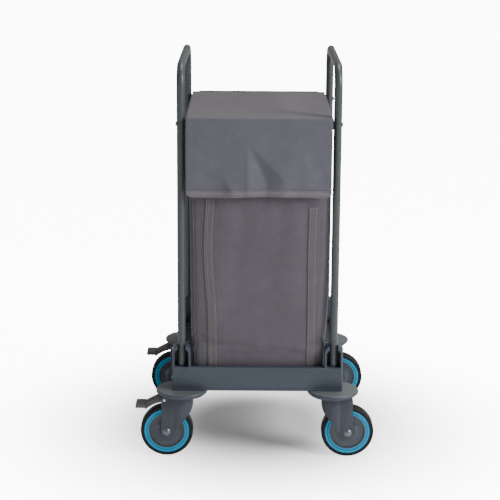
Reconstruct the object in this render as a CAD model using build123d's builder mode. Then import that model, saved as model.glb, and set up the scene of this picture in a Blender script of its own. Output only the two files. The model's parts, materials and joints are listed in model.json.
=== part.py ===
from build123d import *
from math import asin, atan2, cos, pi, sin, sqrt
import os

os.makedirs("parts", exist_ok=True)

# A housekeeping cart: a moulded base on four swivel castors, two tube hoops, and a
# fabric bag with a stiffened lid and a hanging front flap. Millimetres, +Z up, the
# flap side towards -Y, and the origin on the floor under the middle of the base.

# Overall sizes
base_width = 402.0
base_length = 450.0
hoop_top = 940.0
rim_height = 810.0

# Base frame mouldings
rail_height = 58.0
rail_width = 43.0
beam_depth = 38.0
frame_wall = 4.0
rail_end_wall = 6.0
corner_block = 51.0
lip_width = 12.0
lip_depth = 11.0
base_corner_radius = 4.0
groove_height = 6.5
groove_width = 1.4
groove_depth = 0.7

# Corner sockets that the posts stand in
socket_height = 53.0
arch_radius = 17.0
socket_wall = 5.0
socket_back = 6.0
arch_thickness = 9.0
post_floor = 12.0
nut_room = 11.0

# Tube hoops and the spigots they plug on
tube_diameter = 19.0
tube_wall = 1.5
hoop_bend = 45.0
joint_rise = 61.0
spigot_length = 30.0
spigot_bore = 10.0
slip_gap = 0.1

# Deck panel and its screws
deck_thickness = 4.0
deck_gap = 0.5
deck_screw_radius = 2.0
deck_screw_head = 4.5
deck_screw_length = 14.0
deck_screw_pitch = 120.0

# Bolts that join rails to cross-members
frame_bolt_radius = 3.0
frame_bolt_head = 4.5
frame_bolt_head_height = 4.0
frame_bolt_reach = 9.0
frame_bolt_rise = 25.0
frame_bolt_inset = 10.5

# Bag, its side rails and the screws through the legs
bag_wall = 2.0
bag_foot_side_gap = 6.0
bag_foot_end_gap = 8.0
bag_rim_side_gap = 1.7
bag_rim_end_gap = 3.5
bag_foot_radius = 18.0
bag_rim_radius = 14.0
bag_rim_drop = 2.0
bag_lift = 0.5
board_thickness = 3.0
board_gap = 3.0
board_radius = 14.0
side_rail_thickness = 5.0
side_rail_height = 22.0
side_rail_end = 6.5
side_rail_gap = 0.3
rail_screw_radius = 2.5
rail_screw_head = 5.5
rail_screw_head_height = 3.2
rail_screw_drop = 10.0

# Lid and flap
lid_side_gap = 3.0
lid_thickness = 5.5
lid_lift = 0.5
lid_skin = 0.9
lid_edge = 3.0
lid_rear_inset = 9.0
lid_board_gap = 0.1
flap_thickness = 2.0
flap_gap = 0.5
flap_top_gap = 5.0
flap_drop = 182.5
flap_corner = 12.0

# Castors
wheel_diameter = 125.0
castor_head = 40.0
wheel_width = 32.0
tyre_depth = 8.75
ring_depth = 10.9
tread_round = 5.0
ring_step = 1.0
hub_step = 4.0
hub_dish = 1.5
hub_lip = 3.0
boss_radius = 15.0
boss_gap = 0.5
bush_wall = 3.0
axle_radius = 6.0
axle_head = 9.5
axle_head_height = 4.0
trail = 36.0
run_gap = 0.05
side_play = 2.0
tyre_gap = 4.0

# Bumper disc and kingpin above each wheel
bumper_diameter = 122.0
bumper_thickness = 8.0
bumper_rim = 3.0
bumper_boss_radius = 57.0
bumper_boss_taper = 2.5
bumper_boss_depth = 4.0
kingpin_radius = 7.0
kingpin_head = 11.0
kingpin_head_height = 5.7
kingpin_flange = 12.0
kingpin_flange_height = 2.0
stem_radius = 5.0
stem_nut_width = 16.0
stem_nut_height = 8.0
swivel_gap = 0.4

# Fork
fork_shell_radius = 30.0
fork_shell_centre = 3.0
fork_crease = 18.0
fork_half_width = 26.0
fork_outer = 47.5
fork_knee_rise = 34.5
fork_boss = 14.0
fork_head_round = 8.0
fork_back_drop = 18.5
fork_throat_out = 10.5
fork_throat_drop = 26.0
fork_roof = 20.6

# Brake pedal
pin_out = 41.0
pin_below_top = 8.6
pin_radius = 3.0
pedal_eye = 6.5
pedal_half_width = 14.0
pedal_reach = 110.0
pad_length = 24.0
pad_half_width = 21.0
pad_rise = 5.0
pad_thickness = 9.0
pad_heel = 4.5
pad_heel_rise = 1.0
pad_round = 3.0
pedal_crook_out = 57.5
pedal_crook_rise = 4.0
brake_gap = 10.0
pedal_side_gap = 1.5
pedal_slot_gap = 1.5

# Worked out from the sizes above
mount_height = wheel_diameter + castor_head
base_top = mount_height + rail_height
joint_height = base_top + joint_rise
arch_top = base_top + socket_height
post_x = base_width / 2 - rail_width / 2
post_y = base_length / 2 - beam_depth / 2
tube_radius = tube_diameter / 2
tube_inner_face = post_x - tube_radius
tube_outer_face = post_x + tube_radius
inner_x = base_width / 2 - rail_width
inner_y = base_length / 2 - beam_depth
deck_seat = base_top - lip_depth
deck_top = deck_seat + deck_thickness
nut_seat = mount_height + post_floor
post_seat = nut_seat + nut_room
wheel_radius = wheel_diameter / 2
ring_outer = wheel_radius - tyre_depth
hub_outer = ring_outer - ring_depth
well_half = wheel_width / 2 + side_play
bush_outer = axle_radius + run_gap + bush_wall
bumper_low = mount_height - bumper_thickness
bumper_boss_low = bumper_low - bumper_boss_depth
fork_top = bumper_boss_low - kingpin_flange_height - swivel_gap
fork_ceiling = fork_top - fork_roof
fork_knee = wheel_radius + fork_knee_rise
pin_height = fork_top - pin_below_top
pad_top = wheel_diameter + pad_rise
side_rail_x = tube_inner_face - side_rail_gap - side_rail_thickness / 2
side_rail_length = 2 * (post_y + side_rail_end)
bag_rim_width = 2 * (side_rail_x - side_rail_thickness / 2 - bag_rim_side_gap)
bag_rim_length = side_rail_length - 2 * bag_rim_end_gap
bag_foot_width = 2 * (inner_x - bag_foot_side_gap)
bag_foot_length = 2 * (base_length / 2 - lip_width - bag_foot_end_gap)
rail_screw_height = rim_height - rail_screw_drop
lid_half = tube_inner_face - lid_side_gap
lid_low = rim_height + lid_lift
lid_high = lid_low + lid_thickness
lid_front = -base_length / 2
lid_rear = base_length / 2 - lid_rear_inset

corners = {"fl": (-1, -1), "fr": (1, -1), "rl": (-1, 1), "rr": (1, 1)}
braked_corners = ("fl", "rl")


def save(builder, node_name):
    """Name a finished piece and write it."""
    builder.part.label = node_name
    export_step(builder.part, f"parts/{node_name}.step")


def front_plane(y):
    """An upright X-Z plane at the given y; extrusions from it go towards -Y."""
    return Plane.XZ.offset(-y)


def side_plane(x):
    """An upright Y-Z plane at the given x; extrusions from it go towards +X."""
    return Plane.YZ.offset(x)


def dome_middle(face, rise, radius):
    """The point halfway round the arc of a domed head: (along its axis, out from it)."""
    ball = (rise**2 + radius**2) / (2 * rise)
    half_turn = asin(radius / ball) / 2
    return (face + rise - ball + ball * cos(half_turn), ball * sin(half_turn))


def post_spots():
    """The four corners of the base, where the posts and castors stand."""
    return [(side * post_x, end * post_y) for side, end in corners.values()]


# ---------------------------------------------------------------- base frame


def make_beam(node_name, end):
    """Cross-member with an arched post socket at each end; end is -1 front, +1 rear."""
    middle = end * post_y
    outer_face = end * base_length / 2
    pocket_height = socket_height - arch_thickness
    pocket_width = rail_width - 2 * socket_wall
    pocket_depth = beam_depth - socket_back
    ledge_depth = beam_depth - lip_width
    with BuildPart() as beam:
        with BuildSketch(Plane.XY.offset(mount_height)):
            with Locations((0, middle)):
                RectangleRounded(base_width, beam_depth, base_corner_radius)
        extrude(amount=arch_top - mount_height)
        with BuildSketch(front_plane(middle)) as silhouette:
            with Locations((0, mount_height)):
                Rectangle(base_width, rail_height, align=(Align.CENTER, Align.MIN))
            with Locations((-post_x, base_top), (post_x, base_top)):
                Rectangle(rail_width, socket_height, align=(Align.CENTER, Align.MIN))
            fillet(silhouette.vertices().group_by(Axis.Y)[-1], arch_radius)
        extrude(amount=beam_depth, both=True, mode=Mode.INTERSECT)
        with BuildSketch(front_plane(outer_face)) as pockets:
            with Locations((-post_x, base_top), (post_x, base_top)):
                Rectangle(pocket_width, pocket_height, align=(Align.CENTER, Align.MIN))
            fillet(pockets.vertices().group_by(Axis.Y)[-1], arch_radius - socket_wall)
        extrude(amount=end * pocket_depth, mode=Mode.SUBTRACT)
        with BuildSketch(Plane.XY.offset(base_top)):
            with Locations((-post_x, outer_face), (post_x, outer_face)):
                Rectangle(tube_diameter + 2 * slip_gap, beam_depth)
        extrude(amount=socket_height, mode=Mode.SUBTRACT)
        with BuildSketch(Plane.XY.offset(post_seat)):
            with Locations((-post_x, middle), (post_x, middle)):
                Circle(tube_radius + slip_gap)
        extrude(amount=arch_top - post_seat, mode=Mode.SUBTRACT)
        with BuildSketch(Plane.XY.offset(nut_seat)):
            with Locations((-post_x, middle), (post_x, middle)):
                RegularPolygon(stem_nut_width / 2 + slip_gap, 6, major_radius=False)
        extrude(amount=nut_room, mode=Mode.SUBTRACT)
        with BuildSketch(Plane.XY.offset(mount_height)):
            with Locations((-post_x, middle), (post_x, middle)):
                Circle(stem_radius + slip_gap)
        extrude(amount=post_floor, mode=Mode.SUBTRACT)
        with BuildSketch(Plane.XY.offset(mount_height)):
            with Locations((0, middle)):
                Rectangle(base_width - 2 * corner_block, beam_depth - 2 * frame_wall)
        extrude(amount=rail_height - lip_depth - frame_wall, mode=Mode.SUBTRACT)
        with BuildSketch(Plane.XY.offset(deck_seat)):
            with Locations((0, end * (inner_y + ledge_depth / 2))):
                Rectangle(2 * inner_x, ledge_depth)
        extrude(amount=lip_depth, mode=Mode.SUBTRACT)
        with BuildSketch(front_plane(outer_face)):
            with Locations((0, mount_height + groove_height)):
                Rectangle(base_width, groove_width)
        extrude(amount=end * groove_depth, mode=Mode.SUBTRACT)
        with BuildSketch(front_plane(end * inner_y)):
            bolt_x = inner_x + frame_bolt_inset
            bolt_z = mount_height + frame_bolt_rise
            with Locations((-bolt_x, bolt_z), (bolt_x, bolt_z)):
                Circle(frame_bolt_radius)
        extrude(amount=-end * frame_bolt_reach, mode=Mode.SUBTRACT)
    save(beam, node_name)


def make_rail(node_name, side):
    """Side rail between the cross-members, hollow from below; side is -1 left, +1 right."""
    length = 2 * inner_y
    middle = side * (inner_x + rail_width / 2)
    ledge_width = rail_width - lip_width
    with BuildPart() as rail:
        with BuildSketch(Plane.XY.offset(mount_height)):
            with Locations((middle, 0)):
                Rectangle(rail_width, length)
        extrude(amount=rail_height)
        with BuildSketch(Plane.XY.offset(deck_seat)):
            with Locations((side * (inner_x + ledge_width / 2), 0)):
                Rectangle(ledge_width, length)
        extrude(amount=lip_depth, mode=Mode.SUBTRACT)
        with BuildSketch(Plane.XY.offset(mount_height)):
            with Locations((middle, 0)):
                Rectangle(rail_width - 2 * frame_wall, length - 2 * rail_end_wall)
        extrude(amount=rail_height - lip_depth - frame_wall, mode=Mode.SUBTRACT)
        with BuildSketch(side_plane(side * base_width / 2)):
            with Locations((0, mount_height + groove_height)):
                Rectangle(length, groove_width)
        extrude(amount=-side * groove_depth, mode=Mode.SUBTRACT)
        with BuildSketch(front_plane(0)):
            with Locations((side * (inner_x + frame_bolt_inset), mount_height + frame_bolt_rise)):
                Circle(frame_bolt_radius + slip_gap)
        extrude(amount=inner_y, both=True, mode=Mode.SUBTRACT)
        with BuildSketch(Plane.XY.offset(deck_seat)):
            with Locations(*[spot for spot in deck_screw_spots() if spot[0] * side > 0]):
                Circle(deck_screw_radius)
        extrude(amount=-frame_wall, mode=Mode.SUBTRACT)
    save(rail, node_name)


def deck_screw_spots():
    """Three screws down each side rail's ledge."""
    out = inner_x + (rail_width - lip_width) / 2
    rows = (-deck_screw_pitch, 0, deck_screw_pitch)
    return [(side * out, row) for side in (-1, 1) for row in rows]


def make_deck_panel():
    """Flat floor of the base, notched round the four corner blocks."""
    with BuildPart() as deck_panel:
        with BuildSketch(Plane.XY.offset(deck_seat)):
            Rectangle(base_width - 2 * lip_width - 2 * deck_gap, 2 * inner_y - 2 * deck_gap)
            Rectangle(2 * inner_x - 2 * deck_gap, base_length - 2 * lip_width - 2 * deck_gap)
        extrude(amount=deck_thickness)
        with Locations(Plane.XY.offset(deck_top)):
            with Locations(*deck_screw_spots()):
                CounterSinkHole(deck_screw_radius + slip_gap, deck_screw_head + slip_gap,
                                deck_thickness)
    save(deck_panel, "deck_panel")


def make_deck_screws():
    """Six countersunk screws, flush with the deck."""
    head_height = deck_screw_head - deck_screw_radius
    with BuildPart() as deck_screws:
        for x, y in deck_screw_spots():
            with BuildSketch(Plane(origin=(x, y, deck_top), x_dir=(1, 0, 0), z_dir=(0, -1, 0))):
                with BuildLine():
                    Polyline(
                        (0, 0),
                        (deck_screw_head, 0),
                        (deck_screw_radius, -head_height),
                        (deck_screw_radius, -deck_screw_length),
                        (0, -deck_screw_length),
                        close=True,
                    )
                make_face()
            revolve(axis=Axis((x, y, 0), (0, 0, 1)))
    save(deck_screws, "deck_screws")


def make_frame_bolts():
    """Four bolts from inside the rails into the cross-members."""
    head_face = inner_y - rail_end_wall
    with BuildPart() as frame_bolts:
        for side, end in corners.values():
            spot = (side * (inner_x + frame_bolt_inset), mount_height + frame_bolt_rise)
            with BuildSketch(front_plane(end * head_face)):
                with Locations(spot):
                    Circle(frame_bolt_radius)
            extrude(amount=-end * (rail_end_wall + frame_bolt_reach))
            with BuildSketch(front_plane(end * head_face)):
                with Locations(spot):
                    RegularPolygon(frame_bolt_head, 6, major_radius=False)
            extrude(amount=end * frame_bolt_head_height)
    save(frame_bolts, "frame_bolts")


make_beam("front_beam", -1)
make_beam("rear_beam", 1)
make_rail("left_rail", -1)
make_rail("right_rail", 1)
make_deck_panel()
make_deck_screws()
make_frame_bolts()


# ---------------------------------------------------------------- posts and hoops


def make_post_stub(node_name, x, y):
    """Short tube standing in a corner socket, turned down at the top as a spigot."""
    spigot_radius = tube_radius - tube_wall - slip_gap
    with BuildPart() as stub:
        with BuildSketch(Plane(origin=(x, y, 0), x_dir=(1, 0, 0), z_dir=(0, -1, 0))):
            with BuildLine():
                Polyline(
                    (spigot_bore / 2, post_seat),
                    (tube_radius, post_seat),
                    (tube_radius, joint_height),
                    (spigot_radius, joint_height),
                    (spigot_radius, joint_height + spigot_length),
                    (spigot_bore / 2, joint_height + spigot_length),
                    close=True,
                )
            make_face()
        revolve(axis=Axis((x, y, 0), (0, 0, 1)))
    save(stub, node_name)


def make_hoop(node_name, side):
    """Upside-down U of round tube, running front to back along one side."""
    x = side * post_x
    bar_height = hoop_top - tube_radius
    with BuildPart() as hoop:
        with BuildLine(side_plane(x)) as route:
            FilletPolyline(
                (-post_y, joint_height),
                (-post_y, bar_height),
                (post_y, bar_height),
                (post_y, joint_height),
                radius=hoop_bend,
            )
        with BuildSketch(Plane(origin=route.line @ 0, z_dir=route.line % 0)):
            Circle(tube_radius)
            Circle(tube_radius - tube_wall, mode=Mode.SUBTRACT)
        sweep()
        with BuildSketch(side_plane(x)):
            with Locations((-post_y, rail_screw_height), (post_y, rail_screw_height)):
                Circle(rail_screw_radius + slip_gap)
        extrude(amount=tube_diameter, both=True, mode=Mode.SUBTRACT)
    save(hoop, node_name)


def make_side_rail(node_name, side):
    """Flat bar inside the legs of one hoop, which the bag's rim hangs on."""
    with BuildPart() as bar:
        with BuildSketch(side_plane(side * side_rail_x)):
            with Locations((0, rim_height - side_rail_height / 2)):
                RectangleRounded(side_rail_length, side_rail_height, side_rail_end - slip_gap)
            with Locations((-post_y, rail_screw_height), (post_y, rail_screw_height)):
                Circle(rail_screw_radius + slip_gap, mode=Mode.SUBTRACT)
        extrude(amount=side_rail_thickness / 2, both=True)
    save(bar, node_name)


def make_rail_screws():
    """Four round-headed screws, through the legs and into the side rails."""
    inner_end = side_rail_x - side_rail_thickness / 2 + side_rail_gap
    head_face = tube_outer_face + slip_gap
    head_top = head_face + rail_screw_head_height
    crown = dome_middle(head_face, rail_screw_head_height, rail_screw_head)
    with BuildPart() as rail_screws:
        for side, end in corners.values():
            y = end * post_y
            with BuildSketch(Plane(origin=(0, y, rail_screw_height), x_dir=(side, 0, 0),
                                   z_dir=(0, -side, 0))):
                with BuildLine():
                    Line((inner_end, 0), (inner_end, rail_screw_radius))
                    Line((inner_end, rail_screw_radius), (head_face, rail_screw_radius))
                    Line((head_face, rail_screw_radius), (head_face, rail_screw_head))
                    ThreePointArc((head_face, rail_screw_head), crown, (head_top, 0))
                    Line((head_top, 0), (inner_end, 0))
                make_face()
            revolve(axis=Axis((0, y, rail_screw_height), (1, 0, 0)))
    save(rail_screws, "rail_screws")


for corner, (side, end) in corners.items():
    make_post_stub(f"post_stub_{corner}", side * post_x, end * post_y)
make_hoop("left_hoop", -1)
make_hoop("right_hoop", 1)
make_side_rail("left_bag_rail", -1)
make_side_rail("right_bag_rail", 1)
make_rail_screws()


# ---------------------------------------------------------------- bag, lid and flap


def make_bag():
    """Open-topped fabric bag that stands on the deck and hangs between the side rails."""
    foot = deck_top + bag_lift
    rim = rim_height - bag_rim_drop
    with BuildPart() as bag:
        with BuildSketch(Plane.XY.offset(foot)):
            RectangleRounded(bag_foot_width, bag_foot_length, bag_foot_radius)
        with BuildSketch(Plane.XY.offset(rim)):
            RectangleRounded(bag_rim_width, bag_rim_length, bag_rim_radius)
        loft()
        with BuildSketch(Plane.XY.offset(foot + bag_wall)):
            RectangleRounded(bag_foot_width - 2 * bag_wall, bag_foot_length - 2 * bag_wall,
                             bag_foot_radius - bag_wall)
        with BuildSketch(Plane.XY.offset(rim)):
            RectangleRounded(bag_rim_width - 2 * bag_wall, bag_rim_length - 2 * bag_wall,
                             bag_rim_radius - bag_wall)
        loft(mode=Mode.SUBTRACT)
    save(bag, "bag_body")


def make_bag_board():
    """Loose stiffening board on the floor of the bag."""
    inset = 2 * (bag_wall + board_gap)
    with BuildPart() as board:
        with BuildSketch(Plane.XY.offset(deck_top + bag_lift + bag_wall + slip_gap)):
            RectangleRounded(bag_foot_width - inset, bag_foot_length - inset, board_radius)
        extrude(amount=board_thickness)
    save(board, "bag_base_board")


def make_lid_cover():
    """Fabric envelope of the lid, open at the front where its board slides in."""
    with BuildPart() as lid_cover:
        with BuildSketch(Plane.XY.offset(lid_low)):
            with Locations((0, (lid_front + lid_rear) / 2)):
                Rectangle(2 * lid_half, lid_rear - lid_front)
        extrude(amount=lid_thickness)
        with BuildSketch(Plane.XY.offset(lid_low + lid_skin)):
            with Locations((0, (lid_front + lid_rear - lid_edge) / 2)):
                Rectangle(2 * (lid_half - lid_edge), lid_rear - lid_edge - lid_front)
        extrude(amount=lid_thickness - 2 * lid_skin, mode=Mode.SUBTRACT)
    save(lid_cover, "lid_cover")


def make_lid_board():
    """Stiff sheet inside the lid."""
    front = lid_front + lid_board_gap
    rear = lid_rear - lid_edge - lid_board_gap
    with BuildPart() as lid_board:
        with BuildSketch(Plane.XY.offset(lid_low + lid_skin + lid_board_gap)):
            with Locations((0, (front + rear) / 2)):
                Rectangle(2 * (lid_half - lid_edge - lid_board_gap), rear - front)
        extrude(amount=lid_thickness - 2 * lid_skin - 2 * lid_board_gap)
    save(lid_board, "lid_board")


def make_flap():
    """Fabric flap that hangs from the lid's front edge over the top of the bag."""
    top = lid_high - flap_top_gap
    with BuildPart() as flap:
        with BuildSketch(front_plane(lid_front - flap_gap)) as outline:
            with Locations((0, top)):
                Rectangle(2 * lid_half, flap_drop - flap_top_gap, align=(Align.CENTER, Align.MAX))
            fillet(outline.vertices().group_by(Axis.Y)[0], flap_corner)
        extrude(amount=flap_thickness)
    save(flap, "front_flap")


make_bag()
make_bag_board()
make_lid_cover()
make_lid_board()
make_flap()


# ---------------------------------------------------------------- castors


def plan_plane(corner):
    """Plan view of a castor: origin under its swivel axis, X the way its wheel trails."""
    side, end = corners[corner]
    return Plane(origin=(side * post_x, end * post_y, 0), x_dir=(side, 0, 0), z_dir=(0, 0, 1))


def profile_plane(corner):
    """Side view of a castor: X the way its wheel trails, Y the height above the floor."""
    side, end = corners[corner]
    return Plane(origin=(side * post_x, end * post_y, 0), x_dir=(side, 0, 0), z_dir=(0, -side, 0))


def swivel_axis(corner):
    """Upright axis that a castor turns on."""
    side, end = corners[corner]
    return Axis((side * post_x, end * post_y, 0), (0, 0, 1))


def axle_centre(corner):
    """Middle of a wheel, with the wheel trailing straight outwards."""
    side, end = corners[corner]
    return (side * (post_x + trail), end * post_y, wheel_radius)


def axle_axis(corner):
    """Axis that a wheel rolls on."""
    return Axis(axle_centre(corner), (0, 1, 0))


def wheel_plane(corner):
    """Half section of a wheel: X along the axle, Y out from it."""
    return Plane(origin=axle_centre(corner), x_dir=(0, 1, 0), z_dir=(1, 0, 0))


def make_bumper(corner):
    """Round bumper disc between the castor and the base."""
    with BuildPart() as bumper:
        with BuildSketch(profile_plane(corner)) as section:
            with BuildLine():
                Polyline(
                    (kingpin_radius + slip_gap, bumper_boss_low),
                    (bumper_boss_radius - bumper_boss_taper, bumper_boss_low),
                    (bumper_boss_radius, bumper_low),
                    (bumper_diameter / 2, bumper_low),
                    (bumper_diameter / 2, mount_height),
                    (kingpin_radius + slip_gap, mount_height),
                    close=True,
                )
            make_face()
            fillet(section.vertices().group_by(Axis.X)[-1], bumper_rim)
        revolve(axis=swivel_axis(corner))
    save(bumper, f"bumper_{corner}")


def make_kingpin(corner):
    """Swivel pin: head under the fork, flange under the bumper, stem up into the base."""
    head_top = fork_ceiling - swivel_gap / 2
    stem_top = nut_seat + stem_nut_height
    with BuildPart() as kingpin:
        with BuildSketch(profile_plane(corner)):
            with BuildLine():
                Polyline(
                    (0, head_top - kingpin_head_height),
                    (kingpin_head, head_top - kingpin_head_height),
                    (kingpin_head, head_top),
                    (kingpin_radius, head_top),
                    (kingpin_radius, bumper_boss_low - kingpin_flange_height),
                    (kingpin_flange, bumper_boss_low - kingpin_flange_height),
                    (kingpin_flange, bumper_boss_low),
                    (kingpin_radius, bumper_boss_low),
                    (kingpin_radius, mount_height),
                    (stem_radius, mount_height),
                    (stem_radius, stem_top),
                    (0, stem_top),
                    close=True,
                )
            make_face()
        revolve(axis=swivel_axis(corner))
    save(kingpin, f"kingpin_{corner}")


def make_castor_nuts():
    """Nuts that hold the four kingpins, dropped down the post sockets."""
    with BuildPart() as castor_nuts:
        with BuildSketch(Plane.XY.offset(nut_seat)):
            with Locations(*post_spots()):
                RegularPolygon(stem_nut_width / 2, 6, major_radius=False)
                Circle(stem_radius + slip_gap / 2, mode=Mode.SUBTRACT)
        extrude(amount=stem_nut_height)
    save(castor_nuts, "castor_nuts")


def fork_outline():
    """Side outline of a fork, from its head down to the boss round the axle."""
    back = fork_shell_centre - fork_shell_radius
    throat = (back + fork_throat_out, fork_top - fork_back_drop - fork_throat_drop)
    away_x = trail - throat[0]
    away_z = wheel_radius - throat[1]
    slope = atan2(away_z, away_x) - asin(fork_boss / sqrt(away_x**2 + away_z**2))
    touch = (trail + fork_boss * cos(slope - pi / 2), wheel_radius + fork_boss * sin(slope - pi / 2))
    with BuildLine() as outline:
        Line((back, fork_top), (back, fork_top - fork_back_drop))
        TangentArc((back, fork_top - fork_back_drop), throat, tangent=(0, -1))
        Line(throat, touch)
        Line(touch, (trail, wheel_radius))
        Line((trail, wheel_radius), (trail + fork_boss, wheel_radius))
        Line((trail + fork_boss, wheel_radius), (fork_outer, fork_knee))
        Line((fork_outer, fork_knee), (fork_outer, fork_top - fork_head_round))
        TangentArc(
            (fork_outer, fork_top - fork_head_round),
            (fork_outer - fork_head_round, fork_top),
            tangent=(0, 1),
        )
        Line((fork_outer - fork_head_round, fork_top), (back, fork_top))
    return outline.edges()


def make_fork(corner):
    """Moulded fork: a round-backed shell over the wheel with a leg down each side."""
    plan = plan_plane(corner)
    profile = profile_plane(corner)
    with BuildPart() as fork:
        with BuildSketch(plan):
            with Locations((fork_shell_centre, 0)):
                Circle(fork_shell_radius)
            with Locations(((fork_crease + trail + fork_boss) / 2, 0)):
                Rectangle(trail + fork_boss - fork_crease, 2 * fork_half_width)
        extrude(amount=fork_top)
        with BuildSketch(profile):
            make_face(fork_outline())
            with Locations((trail, wheel_radius)):
                Circle(fork_boss)
        extrude(amount=fork_shell_radius, both=True, mode=Mode.INTERSECT)
        with BuildSketch(profile):
            with Locations((trail, wheel_radius)):
                Circle(wheel_radius + tyre_gap)
        extrude(amount=well_half, both=True, mode=Mode.SUBTRACT)
        with BuildSketch(profile):
            with Locations((trail, wheel_radius)):
                Circle(axle_radius + run_gap)
        extrude(amount=fork_shell_radius, both=True, mode=Mode.SUBTRACT)
        with BuildSketch(plan):
            Circle(kingpin_head + slip_gap + swivel_gap)
        extrude(amount=fork_ceiling, mode=Mode.SUBTRACT)
        with BuildSketch(plan):
            Circle(kingpin_radius + run_gap)
        extrude(amount=fork_top, mode=Mode.SUBTRACT)
        if corner in braked_corners:
            slot_in = pin_out - pedal_eye - pedal_slot_gap
            slot_top = pin_height + pedal_eye + pedal_slot_gap / 2
            with BuildSketch(profile):
                with Locations((slot_in, slot_top)):
                    Rectangle(trail, trail, align=(Align.MIN, Align.MAX))
            extrude(amount=pedal_half_width + pedal_side_gap, both=True, mode=Mode.SUBTRACT)
            with BuildSketch(profile):
                with Locations((pin_out, pin_height)):
                    Circle(pin_radius + run_gap)
            extrude(amount=fork_shell_radius, both=True, mode=Mode.SUBTRACT)
    save(fork, f"fork_{corner}")


def make_axle(corner):
    """Axle with a domed head outside each fork leg."""
    end = fork_half_width + axle_head_height
    crown = dome_middle(fork_half_width, axle_head_height, axle_head)
    with BuildPart() as axle:
        with BuildSketch(wheel_plane(corner)):
            with BuildLine():
                Line((0, 0), (end, 0))
                ThreePointArc((end, 0), crown, (fork_half_width, axle_head))
                Line((fork_half_width, axle_head), (fork_half_width, axle_radius))
                Line((fork_half_width, axle_radius), (0, axle_radius))
                Line((0, axle_radius), (0, 0))
            make_face()
            mirror(about=Plane.YZ)
        revolve(axis=axle_axis(corner))
    save(axle, f"axle_{corner}")


def make_bush(corner):
    """Plain bush pressed into the hub."""
    half = well_half - boss_gap
    with BuildPart() as bush:
        with BuildSketch(wheel_plane(corner)):
            with Locations((0, (bush_outer + axle_radius + run_gap) / 2)):
                Rectangle(2 * half, bush_outer - axle_radius - run_gap)
        revolve(axis=axle_axis(corner))
    save(bush, f"wheel_bush_{corner}")


def make_hub(corner):
    """Plastic hub: boss, dished disc and a raised lip inside the coloured ring."""
    boss_half = well_half - boss_gap
    disc_half = wheel_width / 2 - hub_step
    lip_half = wheel_width / 2 - ring_step
    lip_inner = hub_outer - hub_lip
    half_section = [
        (0, hub_outer),
        (lip_half, hub_outer),
        (lip_half, lip_inner),
        (disc_half, lip_inner - ring_step),
        (disc_half - hub_dish, (boss_radius + lip_inner) / 2),
        (disc_half + hub_dish, boss_radius + hub_lip),
        (boss_half, boss_radius),
        (boss_half, bush_outer),
        (0, bush_outer),
    ]
    with BuildPart() as hub:
        with BuildSketch(wheel_plane(corner)):
            with BuildLine():
                Polyline(*half_section, close=True)
            make_face()
            mirror(about=Plane.YZ)
        revolve(axis=axle_axis(corner))
    save(hub, f"hub_{corner}")


def make_ring(corner):
    """Coloured cushion ring between hub and tyre."""
    with BuildPart() as ring:
        with BuildSketch(wheel_plane(corner)) as section:
            with Locations((0, (hub_outer + ring_outer) / 2)):
                Rectangle(wheel_width - 2 * ring_step, ring_depth)
            fillet(section.vertices().group_by(Axis.Y)[0], ring_step)
        revolve(axis=axle_axis(corner))
    save(ring, f"cushion_ring_{corner}")


def make_tyre(corner):
    """Rubber tyre with rounded shoulders."""
    with BuildPart() as tyre:
        with BuildSketch(wheel_plane(corner)) as section:
            with Locations((0, (ring_outer + wheel_radius) / 2)):
                Rectangle(wheel_width, tyre_depth)
            fillet(section.vertices().group_by(Axis.Y)[-1], tread_round)
        revolve(axis=axle_axis(corner))
    save(tyre, f"tyre_{corner}")


def make_pedal(corner):
    """Foot brake: an arm curved over the tyre with a flat pad on its end."""
    under = wheel_radius + brake_gap
    heel_out = pedal_reach - pad_length
    pad_low = pad_top - pad_thickness

    def over_tyre(out):
        """A point on the arm's underside, a fixed distance outside the tread."""
        return (out, wheel_radius + sqrt(under**2 - (out - trail) ** 2))

    eye_bottom = over_tyre(pin_out)
    middle = over_tyre((pin_out + heel_out) / 2)
    heel = over_tyre(heel_out)
    with BuildPart() as pedal:
        with BuildSketch(profile_plane(corner)):
            with BuildLine():
                ThreePointArc(eye_bottom, middle, heel)
                Polyline(
                    heel,
                    (heel_out + pad_heel, pad_low),
                    (heel_out + pad_heel, pad_top),
                    (heel_out, pad_top + pad_heel_rise),
                    (pedal_crook_out, pin_height + pedal_crook_rise),
                    (pin_out, pin_height + pedal_eye),
                    (pin_out, pin_height),
                    eye_bottom,
                )
            make_face()
            with Locations((pin_out, pin_height)):
                Circle(pedal_eye)
                Circle(pin_radius + run_gap, mode=Mode.SUBTRACT)
        extrude(amount=pedal_half_width, both=True)
        with BuildSketch(profile_plane(corner)) as pad:
            with Locations((pedal_reach, pad_top)):
                Rectangle(pad_length, pad_thickness, align=(Align.MAX, Align.MAX))
            fillet(pad.vertices().group_by(Axis.X)[-1], pad_round)
        extrude(amount=pad_half_width, both=True)
    save(pedal, f"brake_pedal_{corner}")


def make_pedal_pin(corner):
    """Pin that the brake pedal turns on, through both cheeks of the fork."""
    with BuildPart() as pin:
        with BuildSketch(profile_plane(corner)):
            with Locations((pin_out, pin_height)):
                Circle(pin_radius)
        extrude(amount=fork_half_width, both=True)
    save(pin, f"pedal_pin_{corner}")


make_castor_nuts()
for corner in corners:
    make_bumper(corner)
    make_kingpin(corner)
    make_fork(corner)
    make_axle(corner)
    make_bush(corner)
    make_hub(corner)
    make_ring(corner)
    make_tyre(corner)
for corner in braked_corners:
    make_pedal(corner)
    make_pedal_pin(corner)
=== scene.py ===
import json
from math import cos, hypot, pi, radians, sin

import bpy
import numpy as np
from mathutils import Matrix, Vector

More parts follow.
